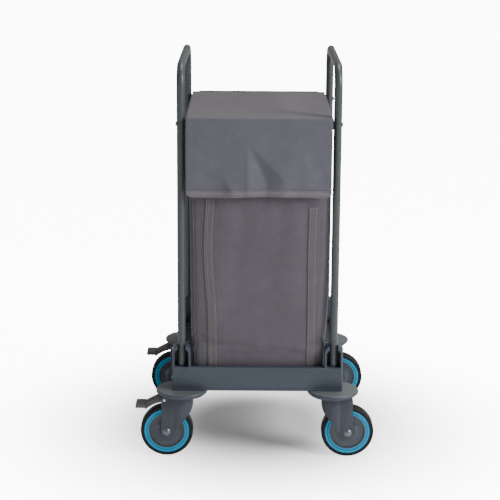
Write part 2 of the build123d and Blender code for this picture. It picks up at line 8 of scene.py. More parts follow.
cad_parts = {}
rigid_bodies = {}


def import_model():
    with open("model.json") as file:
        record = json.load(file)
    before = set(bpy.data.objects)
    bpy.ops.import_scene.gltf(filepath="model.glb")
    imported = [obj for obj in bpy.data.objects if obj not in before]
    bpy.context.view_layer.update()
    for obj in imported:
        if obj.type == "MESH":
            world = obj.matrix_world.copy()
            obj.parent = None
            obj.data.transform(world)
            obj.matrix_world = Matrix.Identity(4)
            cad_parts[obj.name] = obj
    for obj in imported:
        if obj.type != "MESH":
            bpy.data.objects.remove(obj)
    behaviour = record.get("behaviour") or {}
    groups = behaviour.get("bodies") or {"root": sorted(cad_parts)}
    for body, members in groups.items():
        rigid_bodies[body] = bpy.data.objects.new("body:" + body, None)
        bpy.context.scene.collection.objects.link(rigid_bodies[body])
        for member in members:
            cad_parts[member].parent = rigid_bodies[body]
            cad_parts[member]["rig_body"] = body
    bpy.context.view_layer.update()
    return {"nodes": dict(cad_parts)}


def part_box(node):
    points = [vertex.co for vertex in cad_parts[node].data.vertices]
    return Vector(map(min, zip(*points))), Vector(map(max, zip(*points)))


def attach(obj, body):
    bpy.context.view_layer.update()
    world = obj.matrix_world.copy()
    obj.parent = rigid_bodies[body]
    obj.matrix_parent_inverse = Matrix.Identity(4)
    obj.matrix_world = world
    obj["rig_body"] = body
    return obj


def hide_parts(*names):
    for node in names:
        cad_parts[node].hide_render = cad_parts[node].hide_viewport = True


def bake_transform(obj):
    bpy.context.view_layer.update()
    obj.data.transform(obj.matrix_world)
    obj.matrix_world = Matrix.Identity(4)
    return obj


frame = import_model()
nodes = frame["nodes"]

# ------------------------------------------------------------------ studio
# A near-white floor with three large soft lamps, the strongest from the upper right,
# and a long lens at the height of someone looking down a little on the cart. The floor
# has a painted glow: white away from the cart and seen far brighter than it lights,
# fading to near black round the cart as a painted shadow pool.

floor_span = 60.0
floor_colour = (0.93, 0.93, 0.93, 1)
# the floor's painted glow by distance from the cart: near black close in, a painted shadow pool,
# and white further out
painted_glow_stops = ((0.13, (0.008, 0.008, 0.008, 1)), (0.8, (1, 1, 1, 1)))
floor_light = 0.4
sky_light = 0.34
seen_light = 11.0
camera_place = (-0.0195, -3.709, 1.367)
camera_down = 13.84
camera_roll = 0.35
lens_length = 111.6


class Socket:
    """An output in a node tree, which sums and other nodes are built on."""

    def __init__(self, tree, out):
        self.tree = tree
        self.out = out

    def node(self, kind, settings=(), sockets=(), take=0):
        """Add a node: its settings first, then what feeds its sockets; one output is kept."""
        made = self.tree.nodes.new("ShaderNode" + kind)
        for name, value in dict(settings).items():
            if name == "stops":
                for element, (at, colour) in zip(made.color_ramp.elements, value):
                    element.position = at
                    element.color = colour
            elif name == "interpolation":
                made.color_ramp.interpolation = value
            else:
                setattr(made, name, value)
        for name, value in dict(sockets).items():
            if isinstance(value, Socket):
                self.tree.links.new(value.out, made.inputs[name])
            else:
                made.inputs[name].default_value = value
        return Socket(self.tree, made.outputs[take])

    def maths(self, operation, *values):
        return self.node("Math", {"operation": operation}, enumerate(values))

    def __add__(self, other):
        return self.maths("ADD", self, other)

    def __sub__(self, other):
        return self.maths("SUBTRACT", self, other)

    def __rsub__(self, other):
        return self.maths("SUBTRACT", other, self)

    def __mul__(self, other):
        return self.maths("MULTIPLY", self, other)

    def __gt__(self, other):
        return self.maths("GREATER_THAN", self, other)

    def __lt__(self, other):
        return self.maths("LESS_THAN", self, other)

    __radd__ = __add__
    __rmul__ = __mul__

    def sine(self):
        return self.maths("SINE", self)

    def size(self):
        return self.maths("ABSOLUTE", self)

    def rise(self, low, high):
        """0 at low, 1 at high, held outside them."""
        return self.node("MapRange", {"clamp": True},
                         {"Value": self, "From Min": low, "From Max": high})

    def band(self, centre, half, soft):
        """1 within half of centre, falling to 0 over soft."""
        return (half + soft - (self - centre).size()).rise(0, soft)

    def axis(self, which):
        """One of a vector's numbers: 0, 1 or 2 for x, y or z."""
        return self.node("SeparateXYZ", {}, {0: self}, take=which)

    def coated(self, mask, colour):
        """This colour, covered by another where the mask is 1."""
        if not isinstance(colour, Socket):
            colour = (*colour, 1)
        return self.node("Mix", {"data_type": "RGBA"}, {0: mask, 6: self, 7: colour}, take=2)

    def relief(self, strength, depth):
        """This height as a bump, for a shader's Normal."""
        return self.node("Bump", {}, {"Strength": strength, "Distance": depth, "Height": self})


def paint_job(name):
    """A new material: (material, its shader, its Object coordinates)."""
    made = bpy.data.materials.new(name)
    made.use_nodes = True
    tree = made.node_tree
    shader = tree.nodes["Principled BSDF"]
    start = Socket(tree, shader.outputs[0])
    return made, shader, start.node("TexCoord", take="Object")


def feed(shader, socket_name, value):
    """Link or set one of the shader's sockets."""
    if isinstance(value, Socket):
        value.tree.links.new(value.out, shader.inputs[socket_name])
    else:
        shader.inputs[socket_name].default_value = value


def backdrop_light(start, lit, seen):
    """A strength that is lit for the light it gives off, and seen where it is in view."""
    straight = start.node("LightPath", take="Is Camera Ray")
    return straight.node("MapRange", {}, {"Value": straight, "To Min": lit, "To Max": seen})


bpy.ops.object.select_all(action="DESELECT")
bpy.ops.mesh.primitive_plane_add(size=floor_span, location=(0, 0, 0))
floor = bpy.context.object
floor.name = "studio_floor"
paper, shader, place = paint_job("studio_paper")
# painted glow and painted shadow pool: the floor's glow colour by distance from the cart
away = place.node("VectorMath", {"operation": "LENGTH"}, {0: place}, take="Value")
painted_glow = away.node("ValToRGB", {"interpolation": "EASE", "stops": painted_glow_stops}, {"Fac": away})
feed(shader, "Base Color", floor_colour)
feed(shader, "Roughness", 0.9)
feed(shader, "Specular IOR Level", 0.1)
feed(shader, "Emission Color", painted_glow)
feed(shader, "Emission Strength", backdrop_light(place, floor_light, seen_light))
floor.data.materials.append(paper)

# each lamp: its place, the point it shines on, its size and its power
lamps = {
    "key_lamp": ((2.5, -1.5, 2.1), (0, 0, 0.5), 1.5, 116),
    "fill_lamp": ((-2.6, -2.2, 1.6), (0, 0, 0.5), 2.2, 5),
    "top_lamp": ((0.7, 0.4, 3.2), (0, 0, 0.2), 1.8, 50),
}
for lamp_name, (place, aim, size, power) in lamps.items():
    data = bpy.data.lights.new(lamp_name, "AREA")
    data.shape = "DISK"
    data.size = size
    data.energy = power
    lamp = bpy.data.objects.new(lamp_name, data)
    bpy.context.scene.collection.objects.link(lamp)
    lamp.location = place
    lamp.rotation_euler = (Vector(aim) - Vector(place)).to_track_quat("-Z", "Y").to_euler()

world = bpy.data.worlds.new("studio_world")
world.use_nodes = True
sky = world.node_tree.nodes["Background"]
feed(sky, "Color", (1, 1, 1, 1))
start = Socket(world.node_tree, sky.outputs[0])
feed(sky, "Strength", backdrop_light(start, sky_light, seen_light))
bpy.context.scene.world = world

camera_data = bpy.data.cameras.new("camera")
camera_data.lens = lens_length
camera_data.sensor_width = 36.0
camera = bpy.data.objects.new("camera", camera_data)
bpy.context.scene.collection.objects.link(camera)
camera.location = camera_place
down = Matrix.Rotation(radians(90 - camera_down), 3, "X")
tilt = down @ Matrix.Rotation(radians(camera_roll), 3, "Z")
camera.rotation_euler = tilt.to_euler()
bpy.context.scene.camera = camera


# ------------------------------------------------------------------ base frame
# Two cross-members with arched corner sockets and two side rails, injection
# moulded in a blue-grey plastic with a fine spark-eroded grain and eased edges.

edge_ease = 0.0011
plastic_colour = (0.036, 0.049, 0.068)


def noise(place, scale, detail=3.0, rough=0.5):
    return place.node("TexNoise", {"noise_dimensions": "3D"},
                      {"Vector": place, "Scale": scale, "Detail": detail, "Roughness": rough})


def tint(mask, low, high):
    """A colour between two, by a mask from 0 to 1."""
    return mask.node("Mix", {"data_type": "RGBA"}, {0: mask, 6: (*low, 1), 7: (*high, 1)}, take=2)


def shade(colour, share):
    return tuple(min(1.0, channel * share) for channel in colour)


def moulded(name, colour, roughness, grain, depth):
    """Moulded plastic: fine grain, slight flow marks and a few paler scuffs."""
    made, shader, place = paint_job(name)
    flow = noise(place, 9.0, 4.0)
    scuffs = noise(place, 55.0, 6.0, 0.65).rise(0.62, 0.72)
    base = tint(flow, shade(colour, 0.86), shade(colour, 1.14))
    feed(shader, "Base Color", base.coated(scuffs * 0.16, shade(colour, 2.2)))
    feed(shader, "Roughness", roughness + (flow - 0.5) * 0.16 + scuffs * 0.1)
    feed(shader, "Normal", noise(place, grain, 2.0).relief(0.5, depth))
    return made


def take_up(piece):
    """Select just this piece and work on it."""
    bpy.ops.object.select_all(action="DESELECT")
    bpy.context.view_layer.objects.active = piece
    piece.select_set(True)


def eased(node_name, width, segments=2, angle=32):
    """A copy of a CAD piece with its sharp edges rounded over, which stands for that piece."""
    source = nodes[node_name]
    piece = bpy.data.objects.new(node_name + "_shell", source.data.copy())
    bpy.context.scene.collection.objects.link(piece)
    piece.data.materials.clear()
    take_up(piece)
    bpy.ops.object.mode_set(mode="EDIT")
    bpy.ops.mesh.select_all(action="SELECT")
    bpy.ops.mesh.remove_doubles(threshold=0.00001)
    bpy.ops.mesh.dissolve_limited(angle_limit=radians(0.5))
    bpy.ops.object.mode_set(mode="OBJECT")
    if piece.data.has_custom_normals:
        bpy.ops.mesh.customdata_custom_splitnormals_clear()
    rounding = piece.modifiers.new("rounding", "BEVEL")
    rounding.width = width
    rounding.segments = segments
    rounding.limit_method = "ANGLE"
    rounding.angle_limit = radians(angle)
    rounding.use_clamp_overlap = True
    bpy.ops.object.modifier_apply(modifier="rounding")
    bpy.ops.object.shade_smooth_by_angle(angle=radians(angle))
    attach(piece, source["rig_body"])
    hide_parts(node_name)
    return piece


base_plastic = moulded("base_plastic", plastic_colour, 0.52, 1400.0, 0.00025)
for member in ("front_beam", "rear_beam", "left_rail", "right_rail"):
    shell = eased(member, edge_ease)
    shell.data.materials.append(base_plastic)


# ------------------------------------------------------------------ deck
# A flat plastic panel let into the base, held by six countersunk zinc-plated
# screws; four hexagon bolts join the rails to the cross-members underneath.

deck_plastic = moulded("deck_plastic", (0.038, 0.048, 0.062), 0.6, 900.0, 0.0004)


def plated(name, colour, roughness):
    """Bright-plated steel with a faint mottled passivation and fine turning marks."""
    made, shader, place = paint_job(name)
    cloud = noise(place, 160.0, 3.0)
    feed(shader, "Base Color", tint(cloud, shade(colour, 0.8), colour))
    feed(shader, "Metallic", 1.0)
    feed(shader, "Roughness", roughness + cloud * 0.15)
    feed(shader, "Normal", noise(place, 2400.0, 1.0).relief(0.2, 0.0001))
    return made


def finish_with(names, material):
    """Give CAD pieces their finish."""
    for name in names:
        nodes[name].data.materials.clear()
        nodes[name].data.materials.append(material)


zinc = plated("zinc_plate", (0.58, 0.59, 0.6), 0.28)
finish_with(["deck_panel"], deck_plastic)
finish_with(["deck_screws", "frame_bolts", "castor_nuts"], zinc)


# ------------------------------------------------------------------ castors
# Soft moulded bumper disc over a grey nylon fork; the wheel has a glossy hub, a
# blue cushion ring and a near-black tyre on a plain axle with domed ends.

corners = ("fl", "fr", "rl", "rr")
fork_ease = 0.0014

# how deep the bumper's painted reflection reaches down from its top, and its soft edge
top_reflection_depth = 0.0013
top_reflection_edge = 0.0012
body_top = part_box("bumper_fl")[1].z - top_reflection_depth
ring_low, ring_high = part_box("cushion_ring_fr")
axle_out = (ring_low.x + ring_high.x) / 2
axle_height = (ring_low.z + ring_high.z) / 2
line_radius = 0.0472
line_half = 0.0009
line_soft = 0.0005
fork_plastic = moulded("castor_plastic", (0.03, 0.037, 0.054), 0.42, 1600.0, 0.0002)
bush_plastic = moulded("bush_plastic", (0.5, 0.5, 0.48), 0.4, 1600.0, 0.0001)
axle_steel = plated("axle_steel", (0.2, 0.21, 0.24), 0.34)


def bumper_disc():
    """Bumper: dark slate moulded plastic, with a painted reflection in light grey on its top."""
    made, shader, place = paint_job("bumper_plastic")
    flow = noise(place, 12.0, 4.0)
    scuffs = noise(place, 70.0, 6.0, 0.65).rise(0.6, 0.72)
    # painted reflection: the top face coloured light grey where it catches the light above
    face = place.axis(2).rise(body_top, body_top + top_reflection_edge)
    top_reflection = tint(flow, (0.094, 0.107, 0.11), (0.124, 0.141, 0.145))
    body = tint(flow, (0.03, 0.038, 0.052), (0.038, 0.047, 0.063))
    feed(shader, "Base Color", body.coated(face, top_reflection).coated(scuffs * 0.14, (0.24, 0.25, 0.25)))
    feed(shader, "Roughness", 0.36 + flow * 0.1 + scuffs * 0.12)
    feed(shader, "Normal", noise(place, 700.0, 2.0).relief(0.5, 0.0002))
    return made


def glossy_hub():
    """Hub moulding: smooth and glossy, with faint swirls from handling and fine dust."""
    made, shader, place = paint_job("hub_plastic")
    cloud = noise(place, 30.0, 4.0)
    dust = noise(place, 420.0, 4.0, 0.6).rise(0.6, 0.75)
    colour = tint(cloud, (0.025, 0.035, 0.051), (0.035, 0.047, 0.066))
    feed(shader, "Base Color", colour.coated(dust * 0.12, (0.3, 0.3, 0.29)))
    feed(shader, "Roughness", 0.24 + cloud * 0.1 + dust * 0.2)
    feed(shader, "Coat Weight", 0.3)
    feed(shader, "Coat Roughness", 0.12)
    return made


def blue_rubber():
    """Coloured ring: satin rubber with a darker moulded line round it, dusty in places."""
    made, shader, place = paint_job("ring_rubber")
    cloud = noise(place, 45.0, 4.0)
    marks = noise(place, 260.0, 5.0, 0.6).rise(0.58, 0.74)
    bright = tint(cloud, (0.0, 0.26, 0.47), (0.0, 0.35, 0.62))
    from_side = place.axis(0).size() - axle_out
    from_floor = place.axis(2) - axle_height
    out_squared = from_side * from_side + from_floor * from_floor
    line = out_squared.band(line_radius ** 2, 2 * line_radius * line_half,
                            2 * line_radius * line_soft)
    lined = bright.coated(line * 0.85, (0.003, 0.075, 0.16))
    feed(shader, "Base Color", lined.coated(marks * 0.2, (0.006, 0.13, 0.24)))
    feed(shader, "Roughness", 0.42 + cloud * 0.12)
    feed(shader, "Specular IOR Level", 0.25)
    feed(shader, "Normal", noise(place, 1300.0, 2.0).relief(0.3, 0.0002))
    return made


def tyre_rubber():
    """Tyre: near-black rubber, greyed with dust on the tread and finely scratched."""
    made, shader, place = paint_job("tyre_rubber")
    cloud = noise(place, 60.0, 5.0, 0.6)
    dust = cloud.rise(0.5, 0.8)
    feed(shader, "Base Color", tint(dust, (0.006, 0.006, 0.008), (0.018, 0.018, 0.019)))
    feed(shader, "Roughness", 0.5 + dust * 0.25)
    feed(shader, "Specular IOR Level", 0.22)
    feed(shader, "Normal", noise(place, 900.0, 3.0).relief(0.4, 0.0003))
    return made


for corner in corners:
    fork = eased(f"fork_{corner}", fork_ease)
    fork.data.materials.append(fork_plastic)
finish_with([f"bumper_{c}" for c in corners], bumper_disc())
finish_with([f"kingpin_{c}" for c in corners], zinc)
finish_with([f"axle_{c}" for c in corners], axle_steel)
finish_with([f"wheel_bush_{c}" for c in corners], bush_plastic)
finish_with([f"hub_{c}" for c in corners], glossy_hub())
finish_with([f"cushion_ring_{c}" for c in corners], blue_rubber())
finish_with([f"tyre_{c}" for c in corners], tyre_rubber())


# ------------------------------------------------------------------ brake pedals
# Dark moulded foot levers on the two left castors, each on a steel cross pin.

pedal_ease = 0.0012
pedal_plastic = moulded("pedal_plastic", (0.075, 0.070, 0.067), 0.48, 1100.0, 0.0003)
for corner in ("fl", "rl"):
    pedal = eased(f"brake_pedal_{corner}", pedal_ease)
    pedal.data.materials.append(pedal_plastic)
finish_with(["pedal_pin_fl", "pedal_pin_rl"], zinc)


# ------------------------------------------------------------------ posts and hoops
# Steel tube, bent and powder coated in a satin grey: stubs in the corner sockets,
# hoops plugged on over their spigots, and flat bars between the hoops' legs.

tube_colour = (0.045, 0.053, 0.056)
# the height of the painted shadow line where hoop meets stub, its half width and soft edge
joint_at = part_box("left_hoop")[0].z
joint_half = 0.0004
joint_soft = 0.0006


def powder_coat(name, colour):
    """Powder coat: orange-peel skin, paler where rubbed, a painted shadow line where hoops meet
    stubs.
    """
    made, shader, place = paint_job(name)
    cloud = noise(place, 14.0, 4.0)
    rubbed = noise(place, 90.0, 6.0, 0.7).rise(0.64, 0.74)
    # painted shadow: a thin near-black line round the tube where hoop meets stub
    joint_shadow = place.axis(2).band(joint_at, joint_half, joint_soft)
    base = tint(cloud, shade(colour, 0.9), shade(colour, 1.12))
    worn = base.coated(rubbed * 0.15, shade(colour, 2.4))
    feed(shader, "Base Color", worn.coated(joint_shadow * 0.85, (0.008, 0.008, 0.008)))
    feed(shader, "Roughness", 0.34 + cloud * 0.1 + rubbed * 0.1)
    feed(shader, "Normal", noise(place, 620.0, 2.0).relief(0.25, 0.0002))
    return made


tube_coat = powder_coat("tube_coat", tube_colour)
finish_with([f"post_stub_{c}" for c in corners], tube_coat)
finish_with(["left_hoop", "right_hoop", "left_bag_rail", "right_bag_rail"], tube_coat)
finish_with(["rail_screws"], plated("screw_steel", (0.42, 0.43, 0.44), 0.3))
board_plastic = moulded("board_plastic", (0.04, 0.04, 0.044), 0.6, 800.0, 0.0003)
finish_with(["bag_base_board", "lid_board"], board_plastic)


# ------------------------------------------------------------------ bag
# One wall of heavy woven polyester wrapped round the foot board and sewn at the
# corners; it hangs between the side bars, a little slack, so it bellies and ripples.

bag_low, bag_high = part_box("bag_body")
board_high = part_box("bag_base_board")[1]
foot_room = (0.0075, 0.005)
foot_half = (board_high.x + foot_room[0], board_high.y + foot_room[1])
rim_half = (bag_high.x, bag_high.y)
foot_corner = 0.018
rim_corner = 0.014
bag_shift = 0.0042
bag_belly = 0.0022
cloth_thickness = 0.0014
front_runs = 36
side_runs = 48
corner_runs = 4
bag_rows = 62
# each ripple: height, turns, sway and sways of the wide wave; height, turns, slant of the fine
front_ripple = ((0.001, 9.0, 1.3, 5), (0.0006, 21, -4))
side_ripple = ((0.0019, 11.0, 1.7, 4), (0.001, 27, 3))
rim_held_from = 0.975
foot_held_to = 0.11
corner_hold = 0.25
corner_from = (0.146, 0.198)
bag_colour = (0.098, 0.0895, 0.106)
seam_merge = 0.0002
fine_merge = 0.00001


def flat_sheet(name, columns, rows):
    """A new flat grid of cloth: (object, each corner's place across and along the cut, 0 to 1)."""
    bpy.ops.object.select_all(action="DESELECT")
    bpy.ops.mesh.primitive_grid_add(x_subdivisions=columns, y_subdivisions=rows, size=1)
    cloth = bpy.context.object
    cloth.name = name
    places = read_points(cloth)[:, :2] + 0.5
    return cloth, places


def read_points(piece):
    points = np.empty(len(piece.data.vertices) * 3, np.float32)
    piece.data.vertices.foreach_get("co", points)
    return points.reshape(-1, 3).astype(float)


def write_points(piece, points):
    piece.data.vertices.foreach_set("co", np.asarray(points, np.float32).ravel())
    piece.data.update()


def lay_out(cloth, cut):
    """Give the sheet's UV map the size in metres of the cut at each corner."""
    corners_of_faces = np.empty(len(cloth.data.loops), np.int32)
    cloth.data.loops.foreach_get("vertex_index", corners_of_faces)
    layer = cloth.data.uv_layers.active
    layer.name = "cut"
    layer.data.foreach_set("uv", np.asarray(cut[corners_of_faces], np.float32).ravel())


def close_up(cloth, merge=seam_merge):
    """Sew meeting edges together and turn every face outwards."""
    take_up(cloth)
    bpy.ops.object.mode_set(mode="EDIT")
    bpy.ops.mesh.select_all(action="SELECT")
    bpy.ops.mesh.remove_doubles(threshold=merge)
    bpy.ops.mesh.normals_make_consistent(inside=False)
    bpy.ops.object.mode_set(mode="OBJECT")


def apply_modifier(piece, kind, **settings):
    """Add a modifier with these settings and apply it."""
    take_up(piece)
    modifier = piece.modifiers.new("work", kind)
    for name, value in settings.items():
        setattr(modifier, name, value)
    bpy.ops.object.modifier_apply(modifier=modifier.name)


def hang(cloth, held, frames, slack, pressure, reach):
    """Let the piece settle as cloth, held by weight, with no point moved further than reach."""
    start = read_points(cloth)
    group = cloth.vertex_groups.new(name="held")
    for index, weight in enumerate(held):
        if weight > 0:
            group.add([index], float(weight), "REPLACE")
    settle = cloth.modifiers.new("settle", "CLOTH")
    settle.settings.quality = 6
    settle.settings.mass = 0.25
    settle.settings.tension_stiffness = 25
    settle.settings.compression_stiffness = 18
    settle.settings.shear_stiffness = 8
    settle.settings.bending_stiffness = 1.2
    settle.settings.air_damping = 3
    settle.settings.vertex_group_mass = "held"
    settle.settings.shrink_min = -slack
    settle.settings.use_pressure = pressure != 0
    settle.settings.uniform_pressure_force = pressure
    settle.point_cache.frame_start = 1
    settle.point_cache.frame_end = frames
    for step in range(1, frames + 1):
        bpy.context.scene.frame_set(step)
    take_up(cloth)
    bpy.ops.object.modifier_apply(modifier="settle")
    bpy.context.scene.frame_set(1)
    moved = read_points(cloth) - start
    far = np.linalg.norm(moved, axis=1, keepdims=True)
    write_points(cloth, start + moved * np.minimum(1.0, reach / np.maximum(far, 1e-9)))
    cloth.vertex_groups.clear()


def bag_stations():
    """Round the bag from the middle of its back: (which stretch, how far along it) per column."""
    stretches = [("rear", front_runs // 2, 0.5, 1.0), ("rear_left", corner_runs, 0.0, 1.0),
                 ("left", side_runs, 0.0, 1.0), ("front_left", corner_runs, 0.0, 1.0),
                 ("front", front_runs, 0.0, 1.0), ("front_right", corner_runs, 0.0, 1.0),
                 ("right", side_runs, 0.0, 1.0), ("rear_right", corner_runs, 0.0, 1.0),
                 ("rear", front_runs // 2, 0.0, 0.5)]
    stations = []
    for name, runs, first, last in stretches:
        stations += [(name, first + (last - first) * i / runs) for i in range(runs)]
    return stations + [("rear", 0.5)]


def bag_outline(station, half_x, half_y, corner):
    """A point on the bag's rounded rectangle."""
    name, along = station
    flat_x, flat_y = half_x - corner, half_y - corner
    turns = {"rear_left": (-flat_x, flat_y, 90), "front_left": (-flat_x, -flat_y, 180),
             "front_right": (flat_x, -flat_y, 270), "rear_right": (flat_x, flat_y, 0)}
    if name in turns:
        centre_x, centre_y, first = turns[name]
        angle = radians(first + 90 * along)
        return (centre_x + corner * cos(angle), centre_y + corner * sin(angle))
    return {"rear": (flat_x - 2 * flat_x * along, half_y),
            "left": (-half_x, flat_y - 2 * flat_y * along),
            "front": (-flat_x + 2 * flat_x * along, -half_y),
            "right": (half_x, -flat_y + 2 * flat_y * along)}[name]


def bag_size(up):
    """The bag's half width, half depth and corner radius at a share of its height."""
    half_x = foot_half[0] + (rim_half[0] - foot_half[0]) * up
    half_y = foot_half[1] + (rim_half[1] - foot_half[1]) * up
    return half_x, half_y, foot_corner + (rim_corner - foot_corner) * up


def ripple(along, up, wide, fine):
    """How far the cloth stands out: a wide wave that sways with height, and a finer one."""
    height, turns, sway, sways = wide
    wave = height * sin(turns * along + sway * sin(sways * up))
    height, turns, slant = fine
    return wave + height * sin(turns * along + slant * up)


stations = bag_stations()
bag_columns = len(stations) - 1
bag, places = flat_sheet("bag", bag_columns, bag_rows)
bag_height = bag_high.z - bag_low.z
wrapped = []
for across, up in places:
    station = stations[round(across * bag_columns)]
    belly = sin(pi * up)
    half_x, half_y, corner = bag_size(up)
    x, y = bag_outline(station, half_x + bag_belly * belly, half_y, corner)
    name, along = station
    if name in ("front", "rear"):
        y += (-1 if name == "front" else 1) * ripple(along, up, *front_ripple) * belly
    if name in ("left", "right"):
        x += (-1 if name == "left" else 1) * ripple(along, up, *side_ripple) * belly
    wrapped.append((x + bag_shift * belly, y, bag_low.z + bag_height * up))
girth = 2 * (2 * rim_half[0] + 2 * rim_half[1]) - (8 - 2 * pi) * rim_corner
write_points(bag, wrapped)
lay_out(bag, places * np.array([girth, bag_height]))
close_up(bag)

points = read_points(bag)
up = (points[:, 2] - bag_low.z) / bag_height
held = np.where(up > rim_held_from, 1.0, np.clip(1.0 - up / foot_held_to, 0.0, 1.0))
at_corner = ((np.abs(points[:, 1]) > corner_from[1])
             & (np.abs(points[:, 0] - bag_shift) > corner_from[0]))
held = np.maximum(held, np.where(at_corner, corner_hold, 0.0))
hang(bag, held, frames=28, slack=0.005, pressure=0.25, reach=0.0045)
apply_modifier(bag, "SUBSURF", levels=1, render_levels=1)


def select_edges(piece, wanted):
    """Select just the edges whose two ends pass the test."""
    take_up(piece)
    bpy.ops.object.mode_set(mode="EDIT")
    bpy.ops.mesh.select_mode(type="EDGE")
    bpy.ops.mesh.select_all(action="DESELECT")
    bpy.ops.object.mode_set(mode="OBJECT")
    for edge in piece.data.edges:
        edge.select = all(wanted(piece.data.vertices[i].co) for i in edge.vertices)


select_edges(bag, lambda spot: spot.z < bag_low.z + 0.0005)
bpy.ops.object.mode_set(mode="EDIT")
bpy.ops.mesh.edge_face_add()
bpy.ops.object.mode_set(mode="OBJECT")
apply_modifier(bag, "SOLIDIFY", thickness=cloth_thickness, offset=-1.0)
bpy.ops.object.shade_smooth_by_angle(angle=radians(50))


yarn_pitch = 0.0009
stitch_length = 0.0042


def woven(name, colour, stitches=(), areas=(), thread=None):
    """Heavy plain-weave polyester: yarns from the cut's own UV, slubs, fading and stitched rows,
    with painted shade between the yarns and in each row's groove.

    stitches are rows of thread, each ("u" or "v", where, first, last), and areas are lengths
    of another shade, each (first, last, colour), all in metres of the cut."""
    thread = thread or shade(colour, 1.7)
    made, shader, place = paint_job(name)
    cut = place.node("UVMap", {"uv_map": "cut"})
    across = cut.axis(0)
    along = cut.axis(1)
    warp = (across * (pi / yarn_pitch)).sine()
    weft = (along * (pi / yarn_pitch)).sine()
    over = (warp * weft) > 0.0
    yarn = over * warp.size() + (1.0 - over) * weft.size()
    slub = noise(place, 420.0, 2.0)
    fade = noise(place, 5.0, 3.0)
    blotch = noise(place, 38.0, 4.0, 0.6)
    tone = 0.45 * fade + 0.35 * blotch + 0.2 * slub
    base = tint(tone.rise(0.3, 0.7), shade(colour, 0.84), shade(colour, 1.16))
    for first, last, other in areas:
        inside = (along > first) * (along < last)
        there = tint(tone.rise(0.3, 0.7), shade(other, 0.84), shade(other, 1.16))
        base = base.coated(inside, there)
    # painted shade: the cloth darkened between the yarns, where the weave dips
    dark = base.coated((1.0 - yarn) * 0.3, shade(colour, 0.45))
    height = yarn * 0.5 + slub * 0.3
    for way, where, first, last in stitches:
        over_way, run = (across, along) if way == "u" else (along, across)
        row = over_way.band(where, 0.0005, 0.0003) * (run > first) * (run < last)
        stitch = (run * (2 * pi / stitch_length)).sine().rise(-0.75, -0.35)
        ditch = over_way.band(where, 0.0007, 0.0011) * (run > first) * (run < last)
        # painted shade along the groove that each stitched row pulls into the cloth
        dark = dark.coated(ditch * 0.55, shade(colour, 0.35))
        dark = dark.coated(row * stitch * 0.75, thread)
        height = height + row * stitch * 1.6 - ditch * 1.4
    feed(shader, "Base Color", dark)
    feed(shader, "Roughness", 0.82)
    feed(shader, "Specular IOR Level", 0.25)
    feed(shader, "Sheen Weight", 0.12)
    feed(shader, "Sheen Roughness", 0.5)
    feed(shader, "Normal", height.relief(0.55, 0.0004))
    return made


hem_below_rim = 0.014
seam_columns = ((18, 22), (70, 74), (110, 114), (162, 166))
seam_clear = 0.7
seam_rows = [("v", bag_height - hem_below_rim, 0.0, girth)]
for near, far in seam_columns:
    seam_rows += [("u", (near - seam_clear) / bag_columns * girth, 0.0, bag_height),
                  ("u", (far + seam_clear) / bag_columns * girth, 0.0, bag_height)]
bag.data.materials.append(woven("bag_cloth", bag_colour, seam_rows))
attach(bag, "frame")
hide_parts("bag_body")


# ------------------------------------------------------------------ bag's front bands
# Two flat bands of the same cloth, folded and sewn down the front panel with a row
# of thread along each edge; the left one wanders where the panel is slack.

front_y = -rim_half[1]
band_foot = bag_low.z + 0.003
band_wall = 0.0014
band_cast = 0.03
band_columns = 6
band_pitch = 0.006
band_taper = 0.03
drift_from = 0.18
drift_run = 0.62
edge_thread = 0.0024
inner_thread = 0.0075
top_thread = 0.003
band_thread = (0.3, 0.24, 0.2)
# each band: its centre, its width, its top and how far it wanders
bands = {
    "left_band": (-0.1095, 0.0215, bag_high.z - 0.03, 0.009),
    "right_band": (0.129, 0.0195, bag_high.z - 0.2, 0.002),
}


def held_to_one(share):
    return min(1.0, max(0.0, share))


band_pieces = []
for name, (centre, width, top, wander) in bands.items():
    length = top - band_foot
    band, places = flat_sheet(name, band_columns, round(length / band_pitch))
    laid = []
    for across, up in places:
        height = band_foot + length * up
        share = (height - bag_low.z) / bag_height
        drift = -wander * sin(pi * held_to_one((share - drift_from) / drift_run)) ** 2
        taper = 1 - band_taper * (1 - share)
        x = (centre + drift) * taper + width * (across - 0.5)
        laid.append((x, front_y - band_cast, height))
    write_points(band, laid)
    lay_out(band, places * np.array([width, length]))
    apply_modifier(band, "SHRINKWRAP", target=bag, wrap_method="PROJECT", use_project_y=True,
                   use_negative_direction=True, use_positive_direction=True,
                   offset=0.0004)
    close_up(band, fine_merge)
    if sum(face.normal.y for face in band.data.polygons) > 0:
        band.data.flip_normals()
    apply_modifier(band, "SOLIDIFY", thickness=band_wall, offset=1.0)
    apply_modifier(band, "BEVEL", width=0.0003, segments=2, limit_method="ANGLE")
    bpy.ops.object.shade_smooth_by_angle(angle=radians(40))
    rows_of_thread = [("u", edge_thread, 0.0, length), ("u", width - edge_thread, 0.0, length)]
    if name == "right_band":
        rows_of_thread.append(("v", length - top_thread, 0.0, width))
    else:
        rows_of_thread.append(("u", inner_thread, 0.0, length))
    band_cloth = woven(name + "_cloth", shade(bag_colour, 1.06), rows_of_thread,
                       thread=band_thread)
    band.data.materials.append(band_cloth)
    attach(band, "frame")
    band_pieces.append(band)


# ------------------------------------------------------------------ lid and flap cover
# One length of the same cloth: turned down over the lid's rear and side edges, drawn
# flat across its board, folded over the front edge and left hanging as the flap.

lid_low, lid_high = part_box("lid_cover")
flap_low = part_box("front_flap")[0]
cover_colour = (0.104, 0.1015, 0.125)
